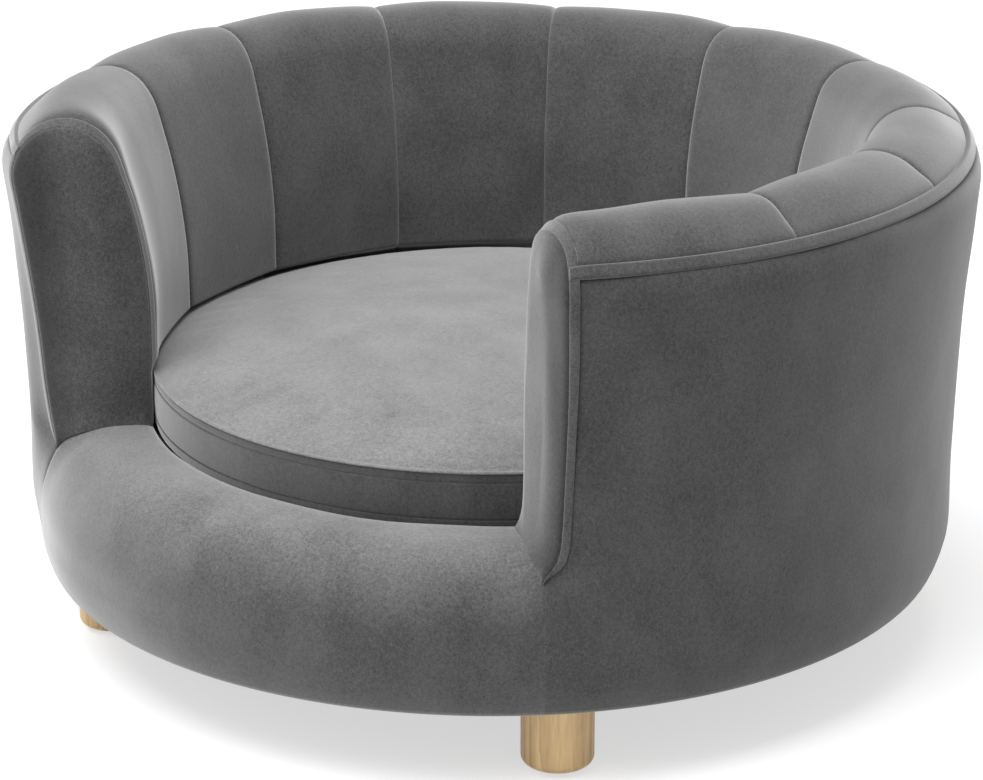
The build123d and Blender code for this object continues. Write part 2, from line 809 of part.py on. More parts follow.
# Zip slider: clasps the chain's front, with two lugs and a pin for the pull
slider_angle = math.degrees(slider_length / slider_front)
lug_angle = math.degrees(lug_length / slider_front)
slot_height = chain_height + 2 * slider_clearance
with BuildPart() as zip_slider:
    with BuildSketch(section_plane(zip_start - slider_angle / 2)):
        slider_low = zip_height - slider_height / 2
        ring_section(slider_in, slider_front, slider_low, slider_low + slider_height)
        with BuildLine():
            slot_front = chain_out + slider_clearance
            slot_low = (slider_in - overrun, zip_height - slot_height / 2)
            rectangle(slot_low, (slot_front, zip_height + slot_height / 2))
        make_face(mode=Mode.SUBTRACT)
    revolve(axis=Axis.Z, revolution_arc=slider_angle)
    with BuildSketch(section_plane(zip_start - lug_angle / 2)):
        for edge in (-1, 1):
            high = zip_height + edge * slider_height / 2
            ring_section(slider_front, slider_front + lug_reach, high - edge * lug_height, high)
    revolve(axis=Axis.Z, revolution_arc=lug_angle)
    pin_place = on_circle((0, 0), pull_pin_ring, zip_start)
    with Locations((*pin_place, zip_height)):
        Cylinder(pull_pin_radius, slider_height - lug_height)
save(zip_slider, "zip_slider")

# Zip pull: a knuckle round the slider's pin with a flat tab along the band
pull_height = slider_height - 2 * lug_height - 2 * slider_clearance
knuckle_bore = pull_pin_radius + pull_pin_clearance
knuckle_radius = knuckle_bore + pull_knuckle_wall
with BuildPart() as zip_pull:
    with BuildSketch(level_plane(zip_height - pull_height / 2, zip_start)):
        with Locations((pull_pin_ring, 0)):
            Circle(knuckle_radius)
            with Locations((0, pull_length / 2)):
                Rectangle(pull_thickness, pull_length)
            Circle(knuckle_bore, mode=Mode.SUBTRACT)
    extrude(amount=pull_height)
save(zip_pull, "zip_pull")
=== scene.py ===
# %% [markdown]
# # A round sofa bed for a dog
# The real sofa is a plywood and softwood tub under foam and grey velvet. A C-shaped wall of ten sewn
# channels stands round a loose round cushion, and the front quarter is a low roll.
# The hard parts come from a fixed frame of exact solids. This file dresses that frame: it replaces each
# soft solid with a fuller form and gives every surface its finish.

import json
import math

import bmesh
import bpy
import numpy as np
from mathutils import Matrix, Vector, kdtree, noise


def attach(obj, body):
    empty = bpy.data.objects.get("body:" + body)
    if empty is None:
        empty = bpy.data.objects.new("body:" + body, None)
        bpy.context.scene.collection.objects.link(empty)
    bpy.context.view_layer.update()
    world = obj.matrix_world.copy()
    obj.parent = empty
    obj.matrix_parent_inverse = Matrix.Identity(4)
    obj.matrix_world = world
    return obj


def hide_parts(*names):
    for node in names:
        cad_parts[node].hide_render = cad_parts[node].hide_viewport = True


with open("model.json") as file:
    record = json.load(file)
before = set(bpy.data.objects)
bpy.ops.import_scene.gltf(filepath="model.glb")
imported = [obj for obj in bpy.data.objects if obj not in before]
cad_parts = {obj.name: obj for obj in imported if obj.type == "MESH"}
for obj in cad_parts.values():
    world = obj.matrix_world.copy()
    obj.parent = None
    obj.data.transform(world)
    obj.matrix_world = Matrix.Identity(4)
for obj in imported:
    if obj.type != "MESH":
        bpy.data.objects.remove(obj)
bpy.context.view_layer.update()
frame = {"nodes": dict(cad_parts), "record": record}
nodes = frame["nodes"]

# %% [markdown]
# ## Sizes that every piece shares
# The sofa is round, so each place is a radius, an angle and a height about one upright axis, in
# millimetres. The wall's section is a straight inner face, a long arc that leans out into a round roll,
# and a long arc that flares down the outside. Working from these few sizes keeps neighbours together.

# %% The wall's section
MM = 0.001
axis_y = -6.0
well, wall = 247.6, 332.2
tuck_foot, body_bottom = 144.0, 56.8
roll_r, roll_z, roll_size = 305.2, 342.0, 39.0
lean_turn, flare_turn = math.radians(20), math.radians(6.3)
lean_size = (roll_r - roll_size * math.cos(lean_turn) - well) / (1 - math.cos(lean_turn))
lean_r, lean_z = well + lean_size, roll_z - (lean_size - roll_size) * math.sin(lean_turn)
flare_size = (roll_r + roll_size * math.cos(flare_turn) - wall) / (1 - math.cos(flare_turn))
flare_r, flare_z = wall + flare_size, roll_z - (flare_size + roll_size) * math.sin(flare_turn)
front_r, front_z, front_size = 274.2, 101.0, 58.0
seam_angle, welt_angle = 41.0, 28.0
half_opening, channel_angle = 45.0, 27.0
arm_angles = {"right": -45.0, "left": 225.0}
# Boards and rails stand behind the padding, and each pad is closed at its back along their faces.
inner_board, outer_board, rail_inner, hem_inner = 282.1, 318.1, 249.4, 295.8
top_rail, front_rail, base_top = 350.3, 118.3, 58.6
print("lean arc", round(lean_size, 1), "flare arc", round(flare_size, 1))


# %% Small helpers for outlines
def arc(centre_r, centre_z, size, start, end, count):
    """Points of an arc from one angle to another, as an array of radius and height."""
    turn = np.radians(np.linspace(start, end, count))
    return np.stack([centre_r + size * np.cos(turn), centre_z + size * np.sin(turn)], axis=1)


def joined(*runs):
    """One run of points out of several that follow on, without the doubled points."""
    points = np.concatenate([np.asarray(run, float) for run in runs])
    keep = np.ones(len(points), bool)
    keep[1:] = np.linalg.norm(np.diff(points, axis=0), axis=1) > 0.01
    return points[keep]


def straight(radius, low, high, count):
    """Points of an upright run at a radius."""
    return np.stack([np.full(count, radius), np.linspace(low, high, count)], axis=1)


def normals(points, side):
    """The unit normal at each point of a run, to its left (1) or right (-1)."""
    step = np.gradient(points, axis=0)
    step /= np.linalg.norm(step, axis=1, keepdims=True)
    return side * np.stack([-step[:, 1], step[:, 0]], axis=1)


def along(points):
    """The distance along a run at each of its points."""
    return np.concatenate([[0], np.cumsum(np.linalg.norm(np.diff(points, axis=0), axis=1))])


def smooth(share):
    """A share from 0 to 1 that starts and ends gently."""
    share = np.clip(share, 0, 1)
    return share * share * (3 - 2 * share)


def close_at_ends(count):
    """Shares from 0 to 1, closer together at both ends, for columns between two seams."""
    return (1 - np.cos(np.linspace(0, math.pi, count))) / 2


# %% How hand-stuffed padding fills out the plain section
side_fullness, back_fullness = 15.0, 1.0
arm_fullness, arm_crest, crest_reach = 1.5, 1.6, 22.0
arm_seam_ahead, arm_band_width, arm_inset = 4.6, 6.6, 2.5


def arm_turned(radius):
    """How far the arm's seam runs forward of the arm's plane on the arch and down the well side."""
    return arm_seam_ahead + 11.4 * smooth((331 - radius) / 54)


def past_band(radius, angle):
    """Degrees from the rear edge of the nearer arm's band to a place; less than 0 in front of it."""
    edge = np.degrees((arm_turned(radius) - arm_band_width) / radius)
    return np.minimum(angle + 45, 225 - angle) + edge


def risen(turn):
    """How far padding has risen, from 0 at the arm's seam over its band to 1 a few degrees on."""
    return 0.38 * smooth(turn / 1.26 + 1) + 0.62 * (1 - np.exp(-np.clip(turn, 0, None) / 0.9))


def inner_fullness(angle, turn):
    """How far the padding stands into the well: most at the two sides, least at the back."""
    lean = side_fullness * (1 - 0.4 * np.exp(-(((angle - 42) / 22) ** 2)))
    full = back_fullness + lean * np.cos(np.radians(angle)) ** 2
    at_arm = arm_fullness + 5.0 * risen(turn)
    return at_arm + (full - at_arm) * smooth(turn / 16)


def outer_fullness(angle):
    """How far the padding stands out behind the left arm, and a little all round."""
    behind_left = np.exp(-(((angle - 208) / 26) ** 2)) * smooth((226 - angle) / 10)
    return 1.5 * smooth((angle + 46) / 11) * smooth((226 - angle) / 11) + 4.8 * behind_left


def crest_lift(turn):
    """How far the first channels rise over the arms' drawn-in ends."""
    return (arm_crest + 5.2 * risen(turn)) * np.exp(-((np.clip(turn, 0, None) / crest_reach) ** 2))


def crest_slack(angle):
    """How far the roll lies lower at the back left, where the padding has settled."""
    return 3.4 * np.exp(-(((angle - 170) / 18) ** 2))


def swell(radius, angle, height):
    """Push a place of the wall's section out along the roll's rays by the fullness there."""
    ray = np.arctan2(np.clip(height - roll_z, 0, None), radius - roll_r)
    degrees, turn = np.degrees(ray), past_band(radius, angle)
    push = inner_fullness(angle, turn) * smooth((degrees - 41) / 98) * smooth((height - 198.5) / 8)
    push = push + outer_fullness(angle) * (1 - smooth((degrees - 5) / 60)) * smooth((height - 60) / 40)
    push = push + crest_lift(turn) * np.exp(-(((degrees - 100) / 42) ** 2)) * (height > roll_z)
    push = push - crest_slack(angle) * np.exp(-(((degrees - 62) / 30) ** 2)) * (height > roll_z)
    sag = 2.2 * np.exp(-(((radius - 323) / 9) ** 2)) * (1 - smooth((height - 60) / 25))
    return radius + push * np.cos(ray), height + push * np.sin(ray) - sag


# %% Small helpers for pieces
def places(radius, angle, height):
    """Places round the sofa's axis, from millimetres and degrees to metres."""
    turn = np.radians(angle)
    radius, height = radius + 0 * turn, height + 0 * turn + 0 * radius
    x, y = radius * np.cos(turn), radius * np.sin(turn) + axis_y
    return np.stack([x, y + 0 * height, height], axis=-1) * MM


def unevenness(points, size):
    """A soft random number from 0 to 1 at each point, in lumps of a size in millimetres."""
    flat = points.reshape(-1, 3) / (size * MM)
    values = [noise.noise(Vector(place)) for place in flat]
    return np.clip(0.5 + 0.9 * np.array(values), 0, 1).reshape(points.shape[:-1])


def sunk(radius, height, normal, depth):
    """Places of a section, moved against its normals by a depth."""
    return radius - normal[:, 0] * depth, height - normal[:, 1] * depth


def backed(radius, height, corners):
    """Columns of places, each closed at its back by the same few corners."""
    corners = np.repeat(np.array(corners, float)[None], len(radius), axis=0)
    return tuple(np.concatenate([run, corners[..., k]], axis=1) for k, run in enumerate((radius, height)))


def put(name, data):
    """A new object in the scene around a mesh, a camera or a light."""
    holder = bpy.data.objects.new(name, data)
    bpy.context.scene.collection.objects.link(holder)
    return holder


def finish_mesh(name, bm, crease=45):
    """Turn a bmesh into an object that shades smoothly but for its sharp edges."""
    bmesh.ops.remove_doubles(bm, verts=bm.verts, dist=0.01 * MM)
    bmesh.ops.recalc_face_normals(bm, faces=bm.faces)
    for face in bm.faces:
        face.smooth = True
    for edge in bm.edges:
        if len(edge.link_faces) == 2 and edge.calc_face_angle() > math.radians(crease):
            edge.smooth = False
    mesh = bpy.data.meshes.new(name)
    bm.to_mesh(mesh)
    bm.free()
    return put(name, mesh)


def add_skin(bm, points, ring=False):
    """A closed skin through columns of points, each column a closed section."""
    columns, rows = points.shape[:2]
    grid = [[bm.verts.new(place) for place in column] for column in points]
    for c in range(columns if ring else columns - 1):
        left, right = grid[c], grid[(c + 1) % columns]
        for k in range(rows):
            bm.faces.new((left[k], right[k], right[(k + 1) % rows], left[(k + 1) % rows]))
    if not ring:
        bm.faces.new(grid[0])
        bm.faces.new(grid[-1][::-1])


def skin(name, points, ring=False, crease=45):
    """One piece of one skin."""
    bm = bmesh.new()
    add_skin(bm, points, ring)
    return finish_mesh(name, bm, crease)


def dress(piece, material, *stands_for, slot="velvet", body="sofa"):
    """Give a piece its finish, its body and the solids that it stands for."""
    piece.data.materials.append(material)
    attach(piece, body)
    if stands_for:
        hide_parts(*stands_for)
    print(piece.name, "with", len(piece.data.polygons), "faces, rides on", body)
    return piece


# %% [markdown]
# ## Camera
# The photograph looks down at the sofa from its front right, from far away with a long lens. The angle
# comes from fitting the outline, seams and legs. The image is taken to be 983 by 780.

# %% The photograph's view
azimuth, elevation, distance = math.radians(36.2), math.radians(19.5), 2.5665
image_width, sensor_width, focal_length = 983, 36, 3527.4
shift_right, shift_up = -1.7, -17
target = Vector((0, axis_y * MM, 0.180))
level = math.cos(elevation)
back = Vector((math.sin(azimuth) * level, -math.cos(azimuth) * level, math.sin(elevation)))
lens = bpy.data.cameras.new("photo_camera")
lens.sensor_width, lens.lens = sensor_width, sensor_width * focal_length / image_width
lens.shift_x, lens.shift_y = shift_right / image_width, shift_up / image_width
camera = put("photo_camera", lens)
camera.location = target + back * distance
camera.rotation_euler = (-back).to_track_quat("-Z", "Y").to_euler()
bpy.context.scene.camera = camera
print("lens", round(lens.lens, 1), "mm")

# %% [markdown]
# ## Colours and nodes
# Colours are written as screen values in hex, and a shader wants linear light, so one function turns
# one into the other. The others add nodes with their settings and links.


# %% Colour and node helpers
def linear(hex_colour):
    """A screen colour in hex as linear light, with full alpha."""
    values = [int(hex_colour[i : i + 2], 16) / 255 for i in (1, 3, 5)]
    light = [v / 12.92 if v <= 0.04045 else ((v + 0.055) / 1.055) ** 2.4 for v in values]
    return (*light, 1)


def add_node(tree, kind, settings=None, **inputs):
    """Add a node; an input is a value, a node's output, or a node that stands for its first output."""
    node = tree.nodes.new("ShaderNode" + kind)
    for key, value in (settings or {}).items():
        setattr(node, key, value)
    for key, value in inputs.items():
        is_number = key[0] == "i" and key[1:].isdigit()
        socket = node.inputs[int(key[1:]) if is_number else key.replace("_", " ")]
        if isinstance(value, bpy.types.Node):
            value = value.outputs[0]
        if isinstance(value, bpy.types.NodeSocket):
            tree.links.new(value, socket)
        else:
            socket.default_value = value
    return node


def emptied(holder):
    """The node tree of a new material or world, without its first nodes."""
    holder.use_nodes = True
    holder.node_tree.nodes.clear()
    return holder.node_tree


def noise_at(tree, place, size, detail, roughness, **others):
    """Noise in lumps of a size in metres."""
    sizes = {"Scale": 1 / size, "Detail": detail, "Roughness": roughness}
    return add_node(tree, "TexNoise", Vector=place, **sizes, **others)


def added_to(tree, rest, value, weight):
    """A value times its weight, added to the rest."""
    return add_node(tree, "Math", {"operation": "MULTIPLY_ADD"}, i0=value, i1=weight, i2=rest)


def toned(tree, value, low, high, dark, light):
    """The colour between two tones for a value between a low and a high one."""
    level = add_node(tree, "MapRange", Value=value, From_Min=low, From_Max=high)
    tones = {"i6": linear(dark), "i7": linear(light)}
    return add_node(tree, "Mix", {"data_type": "RGBA"}, Factor=level, **tones).outputs[2]


def connect(tree, shader, tone, relief, **values):
    """Link a tone and a relief to the shader and set its other sockets."""
    tree.links.new(tone, shader.inputs["Base Color"])
    tree.links.new(relief.outputs[0], shader.inputs["Normal"])
    for key, value in values.items():
        shader.inputs[key.replace("_", " ")].default_value = value


def new_finish(name):
    """An empty material with its shader and output, and the object's own coordinates."""
    material = bpy.data.materials.new(name)
    tree = emptied(material)
    shader = add_node(tree, "BsdfPrincipled")
    add_node(tree, "OutputMaterial", Surface=shader)
    return material, tree, shader, add_node(tree, "TexCoord").outputs["Object"]


# %% [markdown]
# ## Cut velvet
# Polyester velvet is woven as a double cloth and cut apart, so that a 1 mm pile stands up. Light that
# falls along the pile's tips glows and light that falls into it is lost: a surface that faces the eye
# looks dark and one that turns away looks pale. A dark base under a strong sheen gives that.
# Hands and brushes lay the pile over in patches of 25 to 60 mm, which makes the clouds.


# %% Grey cut velvet
def cut_velvet(name, dark, light, stretch=(1, 1, 1), lay=1.0, sheen=0.7):
    """Velvet between two greys; stretch draws the patches of laid pile out, lay is how strong they are.
    """
    material, tree, shader, place = new_finish(name)
    drawn = add_node(tree, "Mapping", Vector=place, Scale=stretch)
    clouds = noise_at(tree, drawn, 0.038, 2.0, 0.5, Distortion=0.25)
    crush = noise_at(tree, drawn, 0.0028, 3.0, 0.75)
    pile = noise_at(tree, place, 0.0014, 2.0, 0.6)
    all_three = 0.0
    for value, weight in ((clouds, 0.6), (crush, 0.8), (pile, 1.0)):
        all_three = added_to(tree, all_three, value, weight)
    tone = toned(tree, all_three, 0.8, 1.6, dark, light)
    laid = add_node(tree, "Bump", Strength=0.08 * lay, Distance=0.0040, Height=clouds)
    crushed = add_node(tree, "Bump", Strength=0.25 * lay, Distance=0.0004, Height=crush, Normal=laid)
    relief = add_node(tree, "Bump", Strength=0.5, Distance=0.0002, Height=pile, Normal=crushed)
    glow = {"Sheen_Weight": sheen, "Sheen_Roughness": 0.5, "Sheen_Tint": linear("#f2f2f2")}
    connect(tree, shader, tone, relief, Roughness=0.9, IOR=1.45, Specular_IOR_Level=0.15, **glow)
    return material


def retone(material, factor, colour):
    """Multiply a velvet's tone by a colour where a factor is 1: painted light above 1, painted shade
    below 1.
    """
    tree = material.node_tree
    tone = tree.nodes["Principled BSDF"].inputs["Base Color"]
    tones = {"i6": tone.links[0].from_socket, "i7": (colour, colour, colour, 1)}
    settings = {"data_type": "RGBA", "blend_type": "MULTIPLY"}
    tree.links.new(add_node(tree, "Mix", settings, Factor=factor, **tones).outputs[2], tone)


hanging = (1, 1, 0.8)
wall_velvet = cut_velvet("grey_cut_velvet", "#222222", "#4b4b4b", hanging)
# A lighter copy of the same velvet for the cushion's panels: painted light, standing in for the overhead
# light on the cushion's top.
painted_light_velvet = cut_velvet("grey_cut_velvet_lighter_for_painted_light", "#434343", "#747474", (0.8, 0.8, 1), 0.8)
band_velvet = cut_velvet("grey_cut_velvet_folded", "#272727", "#4c4c4c", (1, 1, 1), 0.5)
# The outer cover's pile is combed straight down, so less of it catches the light edge on.
outer_velvet = cut_velvet("grey_cut_velvet_combed_down", "#202020", "#484848", hanging, sheen=0.56)

# The front roll's top is painted paler where it faces up: painted light for the overhead softbox.
roll_velvet = cut_velvet("grey_cut_velvet_with_painted_top_light", "#222222", "#4b4b4b", hanging)
tree = roll_velvet.node_tree
facing_up = add_node(tree, "SeparateXYZ", Vector=add_node(tree, "NewGeometry").outputs["Normal"])
# Painted light: the tone is multiplied by up to 2.1 as the surface turns to face up.
painted_top_light = add_node(tree, "MapRange", Value=facing_up.outputs[2], From_Min=0.3, From_Max=0.95)
retone(roll_velvet, painted_top_light, 2.1)

# On the arms' ends the tone is darkened towards the outer seam: painted shade where the crown turns away.
end_velvet = cut_velvet("grey_cut_velvet_with_painted_shade", "#252525", "#505050", hanging, sheen=0.42)
tree = end_velvet.node_tree
place = add_node(tree, "TexCoord").outputs["Object"]
off_axis = add_node(tree, "Mapping", Vector=place, Location=(0, -axis_y * MM, 0), Scale=(1, 1, 0))
span = add_node(tree, "VectorMath", {"operation": "LENGTH"}, i0=off_axis)
# Painted shade: the tone falls to 0.45 of itself from a radius of 302 mm out to 322 mm.
painted_shade_outwards = add_node(tree, "MapRange", Value=span.outputs["Value"], From_Min=0.302, From_Max=0.322)
retone(end_velvet, painted_shade_outwards, 0.45)

# %% [markdown]
# ## Channel pads
# A channel is two layers of cloth with foam between, closed by a seam at each side. Foam presses the
# velvet out in the middle, and the thread pulls it in at the seam, so the section is a shallow crown with
# a short steep dip at the last two millimetres. A cloth solver could blow up each pad, as it does the
# cushion's top further down, but a formula keeps ten neighbours exactly seam to seam.

# %% The path of a channel, up the well, over the roll and down to the seam
lining_path = joined(
    straight(well, tuck_foot, 196, 5),
    straight(well, 198, 209, 12),
    straight(well, 216, lean_z, 4),
    arc(lean_r, lean_z, lean_size, 180, 160, 16),
    arc(roll_r, roll_z, roll_size, 160, 60, 26),
    arc(roll_r, roll_z, roll_size, 60, seam_angle, 14),
)
lining_normal = normals(lining_path, 1)
lining_left = along(lining_path)[-1] - along(lining_path)
seam_turn, seam_inside = math.radians(seam_angle), roll_size - 9
pad_back = [
    (roll_r + seam_inside * math.cos(seam_turn), roll_z + seam_inside * math.sin(seam_turn)),
    (outer_board, top_rail),
    (inner_board, top_rail),
    (inner_board, tuck_foot),
]


def seam_dip(distance, half_width):
    """How far the velvet lies inside the full pad, by the distance from a channel seam."""
    return 3.4 * np.clip(1 - distance / half_width, 0, 1) ** 2.2 + 1.6 * np.exp(-distance / 1.6)


def arm_dip(distance):
    """The same beside an arm, where the band's second stitching fades out before the seam."""
    return 1.1 * np.exp(-np.abs(distance - arm_band_width) / 1.4) * smooth((lining_left - 4) / 14)


def channel_pad(number):
    """One closed channel pad."""
    first = arm_angles["right"] + (number - 1) * channel_angle
    last = first + channel_angle
    radius = lining_path[:, 0]
    ahead = arm_turned(radius)
    beside = np.degrees((arm_band_width - ahead) / radius)
    start = first + (beside if number == 1 else 0 * beside)
    end = last - (beside if number == 10 else 0 * beside)
    angle = start + (end - start) * close_at_ends(44)[:, None]
    half = math.radians(channel_angle / 2) * radius
    from_first, from_last = np.radians(angle - first) * radius, np.radians(last - angle) * radius
    dips = [
        arm_dip(from_first + ahead) if number == 1 else seam_dip(from_first, half),
        arm_dip(from_last + ahead) if number == 10 else seam_dip(from_last, half),
    ]
    dip = np.maximum(*dips) * (0.4 + 0.6 * smooth(lining_left / 22)) + 1.2 * np.exp(-lining_left / 2.6)
    radius, height = sunk(*lining_path.T, lining_normal, dip)
    lumps = 1.3 * unevenness(places(radius, angle, height), 55)
    radius, height = backed(*sunk(radius, height, lining_normal, lumps), pad_back)
    angle = np.concatenate([angle, angle[:, [-1, -1, 0, 0]]], axis=1)
    radius, height = swell(radius, angle, height)
    return skin(f"channel_pad_{number:02d}", places(radius, angle, height))


# %% Ten channels from arm to arm
for number in range(1, 11):
    pad = channel_pad(number)
    dress(pad, wall_velvet, f"channel_{number:02d}")

# %% [markdown]
# ## Front roll and outer cover
# One panel wraps the back and sides from the seam under the roll down to a hem stapled under the base.
# The front is a second panel over a foam roll. Under each arm's toe the two run into each other without
# a step, so both take their radius from one rule that blends the roll into the wall.


# %% Where the two covers meet under the toe
toe_ahead = 16.4
toe_edge = half_opening - math.degrees(toe_ahead / wall)
line_heights = [148, 151, 154.5, 158, 161.5, 165, 173, 187, 201, 222, 243, 278, 310, 338]
line_aheads = [16.4, 15.5, 13.2, 10.5, 8.5, 7.0, 5.5, 4.8, 4.4, 3.8, 3.3, 3.0, 3.6, 4.6]
draw_heights = [140, 153, 172, 191, 240, 289, 337, 350, 365, 381]
draw_depths = [11.9, 11.4, 9.2, 7.7, 6.3, 4.0, 2.1, 1.2, 0.4, 0]


def arm_line_ahead(height):
    """How far the arm's outer seam runs forward of the arm's plane at a height."""
    return np.interp(height, line_heights, line_aheads)


def drawn_in(height):
    """How far the arm's outer seam is drawn in from the plain wall at a height."""
    return np.interp(height, draw_heights, draw_depths)


def arm_band_at(height):
    """The width of the arm's band at a height: full over the arch, nothing at the toe."""
    full = arm_band_width - 1.1 * (1 - smooth((height - 240) / 90))
    return full * smooth((height - 146) / 14)


def band_edge(height):
    """The angle off the front of the band's rear edge, where the outer cover begins."""
    return half_opening - np.degrees((arm_line_ahead(height) - arm_band_at(height)) / wall)


def wall_radius(height, inset=0):
    """The wall's plain outer radius below the roll, drawn in by an inset."""
    rise = np.clip(height - flare_z, 0, None)
    return flare_r - np.sqrt((flare_size + inset) ** 2 - rise**2)


def roll_fullness(height):
    """How far the front roll's foam fills it out upwards."""
    return 5 * smooth((height - 118) / 40)


plain_heights = np.linspace(0, front_z + front_size, 200)
full_heights = plain_heights + roll_fullness(plain_heights)


def plain_height(height):
    """The height on the roll's plain round section of a place on the fuller roll."""
    return np.interp(height, full_heights, plain_heights)


def front_radius(height):
    """The front roll's outer radius."""
    rise = np.clip(plain_height(height) - front_z, 0, front_size)
    return front_r + np.sqrt(front_size**2 - rise**2)


def side_share(off_front):
    """How far the cover has gone from roll (0) to wall (1), by the angle off the front."""
    return smooth((off_front - 38) / 12)


def cover_dip(off_front, height):
    """How far the outer cover lies inside the plain wall beside and below an arm's toe."""
    low = (wall_radius(height) - front_radius(height)) * (1 - side_share(off_front))
    edge = band_edge(height)
    toe = drawn_in(height) * (1 - smooth((off_front - edge) / 6.5))
    groove = 1.0 * np.exp(-np.clip(off_front - edge, 0, None) * 5.8 / 1.4)
    narrow = 1 - np.clip(arm_band_at(height) / arm_band_width, 0, 1)
    tapered = arm_inset * narrow * np.clip(1 - (off_front - edge) / 5, 0, 1) ** 1.6
    high = toe + groove + tapered
    return low + (high - low) * smooth((height - 138) / 20)


def toe_groove(off_front, height):
    """The short seam below the toe, which fades out down the cover."""
    near = np.exp(-np.abs(off_front - toe_edge) * 5.6 / 1.3)
    return 1.1 * near * smooth((height - 112) / 26) * (1 - smooth((height - 150) / 8))


# %% Outer cover with its wadding
def cover(name, radius, angle, height, normal, dip, behind):
    """A closed cover: its section is drawn in by dips and low lumps, swelled and closed at its back."""
    radius, height = sunk(radius, height, normal, dip)
    lumps = 1.5 * unevenness(places(radius, angle, height), 70)
    lumps = lumps * smooth((height - 60) / 20) * smooth((radius - well) / 6)
    radius, height = sunk(radius, height, normal, lumps)
    angle = angle + 0 * radius
    radius, height = backed(*swell(radius, angle, height), behind)
    angle = np.concatenate([angle, np.repeat(angle[:, -1:], len(behind), axis=1)], axis=1)
    return skin(name, places(radius, angle, height))


hem_run = joined(
    [(hem_inner, body_bottom), (306, body_bottom), (316.8, body_bottom)],
    arc(316.8, 66.8, 10, -90, -30, 8),
    arc(282.2, 86.8, 50, -30, 0, 12),
)
outer_path = joined(
    hem_run,
    straight(wall, 86.8, flare_z, 12),
    arc(flare_r, flare_z, flare_size, 180, 180 - 6.3, 44),
    arc(roll_r, roll_z, roll_size, -6.3, 22, 12),
    arc(roll_r, roll_z, roll_size, 22, 35, 18),
)
outer_normal = normals(outer_path, -1)
outer_run = along(outer_path)
groove_run = outer_run[-1] - math.radians(35 - welt_angle) * roll_size


def outer_cover():
    """The outer cover, closed at its back where the board is."""
    radius, height = outer_path.T
    edge = band_edge(height)
    share = np.sort(np.concatenate([close_at_ends(150), [0.002, 0.006, 0.994, 0.998]]))[:, None]
    angle = (edge - 90) + (360 - 2 * edge) * share
    off_front = np.minimum(angle + 90, 270 - angle)
    dip = cover_dip(off_front, height) + toe_groove(off_front, height)
    dip = dip * smooth((height - 90) / 14) + 1.1 * np.exp(-np.abs(outer_run - groove_run) / 1.1)
    behind = [(outer_board, top_rail), (outer_board, base_top), (hem_inner, base_top)]
    return cover("outer_panel", radius, angle, height, outer_normal, dip, behind)


outer_panel = outer_cover()
dress(outer_panel, outer_velvet, "outer_cover", "outer_wadding")

# %% Front panel over its foam roll
front_path = joined(
    hem_run,
    straight(wall, 86.8, front_z, 5),
    arc(front_r, front_z, front_size, 0, 90, 40),
    [(269, 159.2), (263, 159.4), (257.5, 159), (253.5, 158), (250.8, 156.3), (249, 153.8), (248, 150.5)],
    [(well, 147), (well, tuck_foot)],
)
front_path[:, 1] += roll_fullness(front_path[:, 1])
front_normal = normals(front_path, -1)


def roll_push(radius, height, off_front):
    """The roll's radius where it fills out towards the wall near an arm."""
    turn = np.degrees(np.arcsin(np.clip((plain_height(height) - front_z) / front_size, 0, 1)))
    fade = (1 - smooth((turn - 50) / 40)) * (radius > front_r)
    return radius + (wall_radius(height) - front_radius(height)) * side_share(off_front) * fade


def front_cover():
    """The front panel with its foam, closed at its back where the board and rail are."""
    turns = toe_edge * (2 * close_at_ends(84) - 1)
    angle = -90 + np.concatenate([[-toe_edge - 0.1], turns, [toe_edge + 0.1]])[:, None]
    off_front = np.abs(angle + 90)
    radius, height = front_path.T
    dip = toe_groove(off_front, height) * (radius > front_r) + 0.3 * (off_front > toe_edge)
    radius = roll_push(radius, height, off_front)
    at_rail = [(rail_inner, tuck_foot), (rail_inner, front_rail), (outer_board, front_rail)]
    behind = [*at_rail, (outer_board, base_top), (hem_inner, base_top)]
    return cover("front_panel", radius, angle, height, front_normal, dip, behind)


front_panel = front_cover()
dress(front_panel, roll_velvet, "front_cover", "front_roll_foam")

# %% [markdown]
# ## Arm facings and their bands
# The wall's two ends are closed by a crowned velvet panel in the shape of a thumb. Its seam runs up the
# well, round the arch and down the outside to a toe on the low roll. Behind the seam lies a narrow
# double-stitched band. Rings drawn in from the outline, each raised a little more, give the crown, and
# they end on the roll so that the foot spreads over it.

# %% The arm's outline and the foot on the roll
side_count, arch_start, arch_end = 28, 160, -6.3
foot_r, foot_z = front_path[front_path[:, 1] > 128].T
foot_r = roll_push(foot_r, foot_z, 42.0)
foot_order = np.argsort(foot_r)


def foot_height(radius):
    """The height of the roll's surface under the arm's foot."""
    return np.interp(radius, foot_r[foot_order], foot_z[foot_order]) - 0.8


def inner_edge(height, inset):
    """The arm outline's radius on its well side, drawn in by an inset."""
    rise = np.clip(height - lean_z, 0, None)
    return lean_r - np.sqrt((lean_size - inset) ** 2 - rise**2)


def outer_edge(height, inset):
    """The arm outline's radius on its outer side, drawn in by an inset and towards the toe."""
    return wall_radius(height, inset) - drawn_in(height)


def arm_outline(inset):
    """One turn from the inner foot over the arch to the toe, drawn in by an inset."""
    low = foot_height(inner_edge(tuck_foot, inset))
    size = roll_size - inset
    top = roll_z + size * math.sin(math.radians(arch_start))
    heights = low + (top - low) * close_at_ends(side_count)
    inner = np.stack([inner_edge(heights, inset), heights], axis=1)
    arch = arc(roll_r, roll_z, size, arch_start, arch_end, 26)[1:-1]
    arch[:, 0] -= drawn_in(arch[:, 1]) * (arch[:, 0] > roll_r)
    down, up = 130.0, 200.0
    for _ in range(30):
        middle = (down + up) / 2
        below = middle < foot_height(outer_edge(middle, inset))
        down, up = (middle, up) if below else (down, middle)
    head = roll_z - size * math.sin(flare_turn)
    heights = head + (down - head) * close_at_ends(side_count)
    return np.concatenate([inner, arch, np.stack([outer_edge(heights, inset), heights], axis=1)])


